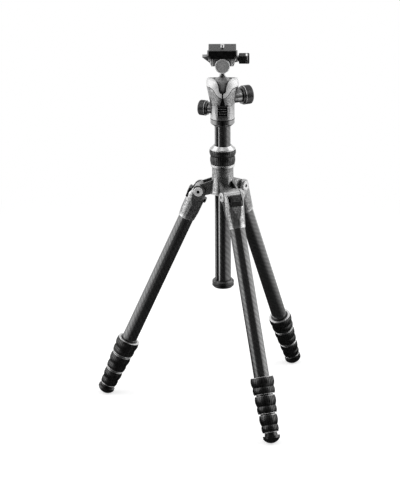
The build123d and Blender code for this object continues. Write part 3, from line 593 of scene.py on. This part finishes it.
def outline(node, place, inside=False):
    """Profile of a turned node, outside or in its bore: (radius, height) pairs up along a place's Z."""
    tree = face_tree(node, place)
    start, way = (0.0, 1) if inside else (RAY_START, -1)
    profile = []
    for height in sorted({round(point.z, HEIGHT_DIGITS) for point in local_points(node, place)}):
        for nudge in (-NUDGE, NUDGE):
            hit = tree.ray_cast(Vector((start, 0, height + nudge)), Vector((way, 0, 0)))[0]
            if hit is None or hit.x <= 0:
                continue
            if not profile or math.dist(profile[-1], (hit.x, height)) > NUDGE:
                profile.append((hit.x, height))
    return profile


def uncut(radius, height, turn, rib):
    return 0.0


def turned_mesh(profile, place, segments=SEGMENTS, ribs=0, carve=uncut):
    """Points and faces turned about a place's Z from (radius, height) pairs; a radius of 0 closes an end.

    carve gives how far a point is cut in, from its radius, its height, its share of a turn and its share of
    a rib's depth.
    """
    if ribs:
        angles = [(2 * math.pi * (rib + share) / ribs, low) for rib in range(ribs) for share, low in RIB]
    else:
        angles = [(2 * math.pi * step / segments, 0.0) for step in range(segments)]
    points, rings, faces = [], [], []
    for radius, height in profile:
        if radius <= 0:
            rings.append([len(points)] * len(angles))
            points.append(place @ Vector((0, 0, height)))
            continue
        rings.append(list(range(len(points), len(points) + len(angles))))
        for angle, low in angles:
            reach = radius - carve(radius, height, angle / (2 * math.pi), low)
            points.append(place @ Vector((reach * math.cos(angle), reach * math.sin(angle), height)))
    for lower, upper in zip(rings, rings[1:]):
        for here in range(len(angles)):
            there = (here + 1) % len(angles)
            corners = [lower[here], lower[there], upper[there], upper[here]]
            faces.append([corner for spot, corner in enumerate(corners) if corner not in corners[:spot]])
    return points, faces


def band(name, node, place, heights, radii, edge, finish, slot):
    """A thin ring round a place's Z with softened edges, between two heights and two radii."""
    (low, high), (inner, outer) = heights, radii
    profile = [(inner, low), (outer - edge, low), (outer, low + edge), (outer, high - edge),
               (outer - edge, high), (inner, high), (inner, low)]
    add_piece(name, *turned_mesh(profile, place), node, finish, slot)


# Twist locks: ribbed rubber grips with a bright ring at each end
RIB_PITCH = 3.7 * MM
RIB_DEPTH = 0.9 * MM
GRIP_DEPTH = 3.2 * MM        # how far a grip's waist and ends lie below its widest place
RING_HEIGHT = 0.9 * MM
RING_OVERLAP = 0.15 * MM     # how far a ring reaches past the grip's end
RING_DEPTH = 3.0 * MM
RING_EDGE = 0.25 * MM
RING_PROUD = 0.5 * MM


def ribbed_grip(node, place):
    """Ribbed copy of a twist collar, with its bright end rings."""
    profile = outline(node, place)
    widest = max(radius for radius, height in profile)
    grip = [(radius, height) for radius, height in profile if radius > widest - GRIP_DEPTH]
    closed = profile + outline(node, place, inside=True)[::-1] + profile[:1]

    def rib_cut(radius, height, turn, rib):
        return RIB_DEPTH * rib * (radius > widest - GRIP_DEPTH)

    mesh = turned_mesh(closed, place, ribs=round(2 * math.pi * widest / RIB_PITCH), carve=rib_cut)
    add_piece(f"{node}_grip", *mesh, node, RUBBER, "black_rubber", replace=True)
    for end, (radius, height), sign in (("lower", grip[0], 1), ("upper", grip[-1], -1)):
        edge = height - sign * RING_OVERLAP
        band(f"{node}_{end}_ring", node, place, sorted((edge, edge + sign * RING_HEIGHT)),
             (radius - RING_DEPTH, radius + RING_PROUD), RING_EDGE, TRIM, "satin_silver")


for leg in LEGS:
    for lock in (1, 2, 3):
        ribbed_grip(f"{leg}_leg_lock_collar_{lock}", LEG_PLACES[leg])
ribbed_grip("column_lock_collar", COLUMN_PLACE)


# Knobs: ribbed rubber grips, dished ends and bright rings
KNOB_DISH = 0.7 * MM
KNOB_DISH_SHARE = 0.7
KNOB_GRIP_SHARE = 0.97       # of the widest radius: the ribs and the grip start above it
KNOB_RIB_PITCH = 1.9 * MM
KNOB_RIB_DEPTH = 0.45 * MM
KNOB_RING_DEPTH = 2.0 * MM
KNOB_RING_PROUD = 0.12 * MM
END_RING_SUNK = 0.2 * MM
END_RING_SHARES = (0.5, 0.62)           # of the dish's radius
END_RING_EDGE = 0.1 * MM


def ribbed_knob(node, joint, ring_shares, ring_finish):
    """Ribbed copy of a knob, its outer end dished, with a ring between two shares of its grip's length."""
    place = joint_place(joint)
    profile = outline(node, place)
    if profile[0][0] > profile[-1][0]:
        place = place @ Matrix.Rotation(math.pi, 4, "X")
        profile = outline(node, place)
    widest = max(radius for radius, height in profile)
    grip = [height for radius, height in profile if radius > KNOB_GRIP_SHARE * widest]
    low, high = grip[0], grip[-1]
    end = profile[-1][1]
    dish = KNOB_DISH_SHARE * widest
    closed = [(0.0, profile[0][1]), *profile,
              (dish + KNOB_DISH, end), (dish, end - KNOB_DISH), (0.0, end - KNOB_DISH)]

    def rib_cut(radius, height, turn, rib):
        return KNOB_RIB_DEPTH * rib * (radius > KNOB_GRIP_SHARE * widest)

    mesh = turned_mesh(closed, place, ribs=round(2 * math.pi * widest / KNOB_RIB_PITCH), carve=rib_cut)
    add_piece(f"{node}_grip", *mesh, node, RUBBER, "black_rubber", replace=True)
    band(f"{node}_ring_1", node, place, [low + share * (high - low) for share in ring_shares],
         (widest - KNOB_RING_DEPTH, widest + KNOB_RING_PROUD), RING_EDGE, ring_finish, "satin_silver")
    band(f"{node}_end_ring", node, place, (end - KNOB_DISH, end - END_RING_SUNK),
         [share * dish for share in END_RING_SHARES], END_RING_EDGE, BLACK, "black_anodised")


ribbed_knob("ball_lock_knob", "ball_lock_turn", (0.02, 0.1), TRIM)
ribbed_knob("pan_lock_knob", "pan_lock_turn", (0.02, 0.1), TRIM)
ribbed_knob("clamp_knob", "clamp_knob_turn", (0.66, 0.86), SILVER)


# Camera screw: a real thread, cut by formula
THREAD_PITCH = 1.27 * MM
THREAD_DEPTH = 0.62 * MM
THREAD_STEPS = 10            # rings of points to a turn of the thread
SCREW_SEGMENTS = 48
SHANK_LENGTH = 5.5 * MM


def threaded_screw():
    """The camera screw with its V thread above the plate, which runs out at both ends."""
    node = "camera_screw"
    place = joint_place("camera_screw_turn")
    if JOINTS["camera_screw_turn"]["axis"][2] < 0:
        place = place @ Matrix.Rotation(math.pi, 4, "X")
    profile = outline(node, place)
    foot, top = profile[0][1], profile[-1][1]
    widest = max(radius for radius, height in profile if height > top - SHANK_LENGTH)
    turned = [height for radius, height in profile
              if height > top - SHANK_LENGTH and radius > widest - NUDGE]
    low, high = min(turned), max(turned)
    rings = round((high - low) / THREAD_PITCH * THREAD_STEPS)
    below = [(radius, height) for radius, height in profile
             if height < low - NUDGE or height <= low + NUDGE and radius < widest - NUDGE]
    thread = [(widest, low + (high - low) * step / rings) for step in range(rings + 1)]
    above = [(radius, height) for radius, height in profile if height > high + NUDGE]

    def thread_cut(radius, height, turn, rib):
        if radius != widest:
            return 0.0
        phase = (height / THREAD_PITCH - turn) % 1.0
        runout = min(1.0, (height - low) / THREAD_PITCH, (high - height) / THREAD_PITCH)
        return THREAD_DEPTH * max(0.0, runout) * abs(2 * phase - 1)

    mesh = turned_mesh([(0.0, foot), *below, *thread, *above, (0.0, top)], place, segments=SCREW_SEGMENTS,
                       carve=thread_cut)
    add_piece("camera_screw_thread", *mesh, node, STEEL, "steel", replace=True)


threaded_screw()


# Small trim on the head, the clamp, the plate and the hub
def prism_faces(count):
    """Faces of a prism whose two ends have a count of corners each."""
    sides = [[here, (here + 1) % count, count + (here + 1) % count, count + here] for here in range(count)]
    return sides + [list(range(count))[::-1], list(range(count, 2 * count))]


def bar_mesh(start, end, width, height, up, bevel):
    """Points and faces of a bar with a bevelled back, from start to end on a face whose normal is up."""
    across = (end - start).normalized().cross(up)
    half = 0.5 * width
    section = [(-half, 0.0), (-half, height - bevel), (-half + bevel, height),
               (half - bevel, height), (half, height - bevel), (half, 0.0)]
    points = [place + across * side + up * rise for place in (start, end) for side, rise in section]
    return points, prism_faces(len(section))


def add_bars(name, node, bars, finish, slot):
    """Several bars as one piece on a CAD node's body."""
    points, faces = [], []
    for bar in bars:
        more_points, more_faces = bar_mesh(*bar)
        faces += [[corner + len(points) for corner in face] for face in more_faces]
        points += more_points
    add_piece(name, points, faces, node, finish, slot)


PAD_BARS = 9
PAD_INSET = 2.2 * MM
PAD_BAR_SHARE = 0.7
PAD_HEIGHT = 0.3 * MM
PAD_BEVEL = 0.12 * MM
SCREW_CLEARANCE = 6.0 * MM


def plate_pad():
    """Rubber ribs across the plate's top, open round the camera screw."""
    low, high = box_corners("quick_release_plate")
    screw = Vector(JOINTS["camera_screw_turn"]["pos_m"])
    pitch = (high.y - low.y - 2 * PAD_INSET) / PAD_BARS
    left, right = low.x + PAD_INSET, high.x - PAD_INSET
    bars = []
    for step in range(PAD_BARS):
        y = low.y + PAD_INSET + (step + 0.5) * pitch
        away = abs(y - screw.y)
        spans = [(left, right)]
        if away < SCREW_CLEARANCE:
            gap = math.sqrt(SCREW_CLEARANCE ** 2 - away ** 2)
            spans = [(left, screw.x - gap), (screw.x + gap, right)]
        bars += [(Vector((start, y, high.z)), Vector((end, y, high.z)), PAD_BAR_SHARE * pitch, PAD_HEIGHT, UP,
                  PAD_BEVEL) for start, end in spans]
    add_bars("plate_pad", "quick_release_plate", bars, PAD, "black_rubber")


FLUTES = 3
FLUTE_WIDTH = 1.7 * MM
FLUTE_PITCH = 2.5 * MM
FLUTE_HEIGHT = 0.7 * MM
FLUTE_BEVEL = 0.4 * MM
FLUTE_INSET = 1.4 * MM
FLUTE_FOOT = 0.6 * MM        # heights above the jaw's lower edge
FLUTE_TOP = 12.5 * MM
JAW_FOOT = 17.5 * MM         # from the barrel's axis to a jaw's outer side, at its lower edge
JAW_SLOPE = 7.0 / 14.7       # of a jaw's outer side, from upright


def jaw_flutes(node, side):
    """Upright ribs on a jaw's front face."""
    low = box_corners("clamp_jaw")[0]
    axis = BARREL_PLACE.to_translation()
    inner = abs(low.x - axis.x)
    bars = []
    for step in range(FLUTES):
        x = inner + FLUTE_INSET + step * FLUTE_PITCH
        foot = max(FLUTE_FOOT, (x + FLUTE_WIDTH / 2 - JAW_FOOT) / JAW_SLOPE)
        place = Vector((axis.x + side * x, low.y, low.z))
        start, end = place + UP * foot, place + UP * FLUTE_TOP
        bars.append((start, end, FLUTE_WIDTH, FLUTE_HEIGHT, FRONT, FLUTE_BEVEL))
    add_bars(f"{node}_flutes", node, bars, FLUTE, "dark_anodised")


# The slit's dark sheet of painted shade and the badge, in millimetres: across the head, up from its foot, and
# back from its axis
SLIT_CORNERS = [(-4.2, 24.6), (4.2, 24.6), (1.0, 39.3), (1.0, 44.6), (-1.0, 44.6), (-1.0, 39.3)]
SLIT_BACK, SLIT_THICKNESS = -18.5, 0.4
FIELD_CORNERS = [(-8.0, 8.2), (8.0, 8.2), (8.0, 22.8), (-8.0, 22.8)]
FIELD_BACK, FIELD_THICKNESS = -19.9, 0.25
BADGE_EDGES = {              # left, right, low, high, finish
    "left": (-9.6, -8.4, 6.6, 24.4, BOLT),
    "right": (8.4, 9.6, 6.6, 24.4, BOLT),
    "lower": (-8.4, 8.4, 6.6, 7.8, DARK),
    "upper": (-8.4, 8.4, 23.2, 24.4, DARK),
}
EDGE_BACK, EDGE_THICKNESS = -20.5, 0.15
LINE_HEIGHTS = (11.5, 15.5, 19.5)
LINE_BACK, LINE_REACH = -20.15, 6.5
LINE_WIDTH = 0.8 * MM
LINE_RISE = 0.15 * MM
LINE_BEVEL = 0.05 * MM


def front_plate(name, corners, back, thickness, finish, slot):
    """A flat plate facing front on the housing, from (x, height) corners about the head's axis."""
    points = [Vector((AXIS.x + x * MM, AXIS.y + (back - rise) * MM, HEAD_FOOT + height * MM))
              for rise in (0.0, thickness) for x, height in corners]
    add_piece(name, points, prism_faces(len(corners)), "head_housing", finish, slot)


def head_trim():
    """Dark sheet of painted shade on the slit's floor, and a bare dark plate with three lines in the badge.
    """
    # painted shade: a black sheet on the slit's floor, where the slit is only shaded
    front_plate("slit_shade_sheet", SLIT_CORNERS, SLIT_BACK, SLIT_THICKNESS, PLASTIC, "black_plastic")
    front_plate("badge_field", FIELD_CORNERS, FIELD_BACK, FIELD_THICKNESS, PLASTIC, "black_plastic")
    for edge, (left, right, low, high, finish) in BADGE_EDGES.items():
        corners = [(left, low), (right, low), (right, high), (left, high)]
        front_plate(f"badge_{edge}_edge", corners, EDGE_BACK, EDGE_THICKNESS, finish, "dark_anodised")
    base = Vector((AXIS.x, AXIS.y + LINE_BACK * MM, HEAD_FOOT))
    bars = []
    for height in LINE_HEIGHTS:
        start, end = (base + Vector((side * LINE_REACH * MM, 0, height * MM)) for side in (-1, 1))
        bars.append((start, end, LINE_WIDTH, LINE_RISE, FRONT, LINE_BEVEL))
    add_bars("badge_lines", "head_housing", bars, TRIM, "satin_silver")


RIM_WIDTH = 1.3 * MM
RIM_LENGTH = 1.6 * MM
RIM_PROUD = 0.12 * MM
RIM_EDGE = 0.5 * MM


def barrel_rim():
    """Bright bevelled ring round the barrel's front face."""
    size = BARREL_HIGH - BARREL_LOW
    radius, front = size.z / 2, size.y / 2
    place = BARREL_PLACE @ Matrix.Rotation(math.pi / 2, 4, "X")
    band("barrel_rim", "clamp_barrel", place, (front - RIM_LENGTH, front + RIM_PROUD),
         (radius - RIM_WIDTH, radius + RIM_PROUD), RIM_EDGE, BOLT, "satin_silver")


# the painted shadow line under the lip's lower edge
SHADOW_LINE_STEPS = 56
SHADOW_LINE_RADIUS = 0.75 * MM
SHADOW_LINE_DROP = 0.45 * MM
SHADOW_LINE_SIDES = 8
SHADOW_LINE_HALF_WIDTH = 25.2 * MM
SHADOW_LINE_SEARCH = (36.0 * MM, 60.0 * MM)    # heights above the head's foot
SHADOW_LINE_HALVINGS = 16


def lip_edge():
    """Points on the housing just under the lip's lower edge in front, from left to right."""
    lip, housing = (face_tree(node, Matrix.Identity(4)) for node in ("lip_collar", "head_housing"))

    def hit(tree, x, height):
        start = Vector((AXIS.x + x, AXIS.y - RAY_START, HEAD_FOOT + height))
        return tree.ray_cast(start, -FRONT)[0]

    path = []
    for step in range(SHADOW_LINE_STEPS + 1):
        x = SHADOW_LINE_HALF_WIDTH * math.sin(math.pi * (step / SHADOW_LINE_STEPS - 0.5))
        low, high = SHADOW_LINE_SEARCH
        for halving in range(SHADOW_LINE_HALVINGS):
            middle = (low + high) / 2
            on_lip, on_housing = hit(lip, x, middle), hit(housing, x, middle)
            covered = on_lip is not None and (on_housing is None or on_lip.y < on_housing.y)
            low, high = (low, middle) if covered else (middle, high)
        path.append(hit(housing, x, low - SHADOW_LINE_DROP))
    return [place for place in path if place is not None]


def lip_shadow_line():
    """Dark round line of painted shadow on the housing, under the lip's lower edge in front."""
    path = lip_edge()
    points, faces = [], []
    for step, place in enumerate(path):
        along = (path[min(step + 1, len(path) - 1)] - path[max(step - 1, 0)]).normalized()
        out = Vector((place.x - AXIS.x, place.y - AXIS.y, 0)).normalized()
        side = along.cross(out).normalized()
        out = side.cross(along)
        for corner in range(SHADOW_LINE_SIDES):
            angle = 2 * math.pi * corner / SHADOW_LINE_SIDES
            points.append(place + SHADOW_LINE_RADIUS * (math.cos(angle) * out + math.sin(angle) * side))
    for step in range(len(path) - 1):
        for corner in range(SHADOW_LINE_SIDES):
            here, there = step * SHADOW_LINE_SIDES + corner, step * SHADOW_LINE_SIDES + (corner + 1) % SHADOW_LINE_SIDES
            faces.append([here, there, there + SHADOW_LINE_SIDES, here + SHADOW_LINE_SIDES])
    faces += [list(range(SHADOW_LINE_SIDES))[::-1], list(range(len(points) - SHADOW_LINE_SIDES, len(points)))]
    # painted shadow: a dark line where the lip's edge shades the housing
    add_piece("lip_shadow_line", points, faces, "lip_collar", PLASTIC, "black_plastic")


GAP_FROM, GAP_TO = 1.4 * MM, 0.3 * MM   # below the housing's foot
GAP_DEPTH = 1.5 * MM
GAP_PROUD = 0.08 * MM
GAP_EDGE = 0.2 * MM


def pan_gap_shade_ring():
    """Dark ring of painted shade in the gap between the pan base and the housing."""
    place = joint_place("head_pan")
    radius = largest_radius("pan_base", place)
    top = HEAD_FOOT - place.to_translation().z
    # painted shade: a black ring stands for the shaded gap
    band("pan_gap_shade_ring", "pan_base", place, (top - GAP_FROM, top - GAP_TO),
         (radius - GAP_DEPTH, radius + GAP_PROUD), GAP_EDGE, PLASTIC, "black_plastic")


CATCH_BARS = 4
CATCH_PITCH = 2.0 * MM
CATCH_BAR_SHARE = 0.5
CATCH_INSET = 2.0 * MM
CATCH_RISE = 0.6 * MM
CATCH_BEVEL = 0.25 * MM
CATCH_FACE_DEPTH = 0.3 * MM


def catch_grip(leg):
    """Grip ribs across the outer face of a leg's angle catch."""
    node = f"{leg}_leg_angle_catch"
    place = LEG_PLACES[leg]
    points = local_points(node, place)
    face = max(point.x for point in points)
    outer = [point for point in points if point.x > face - CATCH_FACE_DEPTH]
    left = min(point.y for point in outer) + CATCH_INSET
    right = max(point.y for point in outer) - CATCH_INSET
    top = max(point.z for point in outer) - CATCH_INSET
    out = place.to_3x3() @ Vector((1, 0, 0))
    bars = []
    for step in range(CATCH_BARS):
        start, end = (place @ Vector((face, side, top - step * CATCH_PITCH)) for side in (left, right))
        bars.append((start, end, CATCH_BAR_SHARE * CATCH_PITCH, CATCH_RISE, out, CATCH_BEVEL))
    add_bars(f"{node}_grip", node, bars, DARK, "dark_anodised")


BOLT_REACH = 9.0 * MM        # a leg's own bolt lies within this radius of its pivot's axis,
BOLT_LENGTH = 36.0 * MM      # and within this distance along it
BOLT_FACE_DEPTH = 0.5 * MM
BOLT_RING_WIDTH = 1.3 * MM
BOLT_RING_LENGTH = 1.0 * MM
BOLT_RING_RISE = 0.15 * MM
BOLT_RING_PROUD = 0.1 * MM
BOLT_RING_EDGE = 0.35 * MM
SOCKET_RADIUS = 2.6 * MM
SOCKET_DEPTH = 0.3 * MM
SOCKET_RISE = 0.06 * MM
SOCKET_SIDES = 6


def bolt_ends(leg):
    """Bright bevelled ring, and a dark hexagon of painted shade over the socket, on both ends of a leg's
    pivot bolt.
    """
    place = joint_place(f"{leg}_leg_swing")
    points = [point for point in local_points("pivot_bolts", place)
              if math.hypot(point.x, point.y) < BOLT_REACH and abs(point.z) < BOLT_LENGTH]
    for end, turn in (("near", 0.0), ("far", math.pi)):
        side = Matrix.Rotation(turn, 4, "X")
        height = max((side @ point).z for point in points)
        face = [point for point in points if (side @ point).z > height - BOLT_FACE_DEPTH]
        radius = max(math.hypot(point.x, point.y) for point in face)
        spot = place @ side
        band(f"{leg}_bolt_{end}_ring", "pivot_bolts", spot,
             (height - BOLT_RING_LENGTH, height + BOLT_RING_RISE),
             (radius - BOLT_RING_WIDTH, radius + BOLT_RING_PROUD), BOLT_RING_EDGE, BOLT, "satin_silver")
        # painted shade: a flat black hexagon stands for the shaded hex socket
        low, high = height - SOCKET_DEPTH, height + SOCKET_RISE
        profile = [(0.0, low), (SOCKET_RADIUS, low), (SOCKET_RADIUS, high), (0.0, high)]
        socket = turned_mesh(profile, spot, segments=SOCKET_SIDES)
        add_piece(f"{leg}_bolt_{end}_socket", *socket, "pivot_bolts", PLASTIC, "black_plastic")


NECK_RING_FROM, NECK_RING_TO = 3.3 * MM, 0.5 * MM       # below the column's lock collar
NECK_RING_RADII = (18.0 * MM, 19.55 * MM)
NECK_RING_EDGE = 0.4 * MM


def neck_ring():
    """Bright ring round the spider's neck, under the column's lock collar."""
    foot = min(point.z for point in local_points("column_lock_collar", COLUMN_PLACE))
    band("spider_neck_ring", "spider", COLUMN_PLACE, (foot - NECK_RING_FROM, foot - NECK_RING_TO),
         NECK_RING_RADII, NECK_RING_EDGE, SILVER, "satin_silver")


plate_pad()
jaw_flutes("clamp_body", -1)
jaw_flutes("clamp_jaw", 1)
head_trim()
barrel_rim()
lip_shadow_line()
pan_gap_shade_ring()
for leg in LEGS:
    catch_grip(leg)
    bolt_ends(leg)
neck_ring()
make_floor()
make_world()
for name, lamp in LAMPS.items():
    softbox(name, *lamp)
bpy.context.scene.view_settings.view_transform = "Standard"
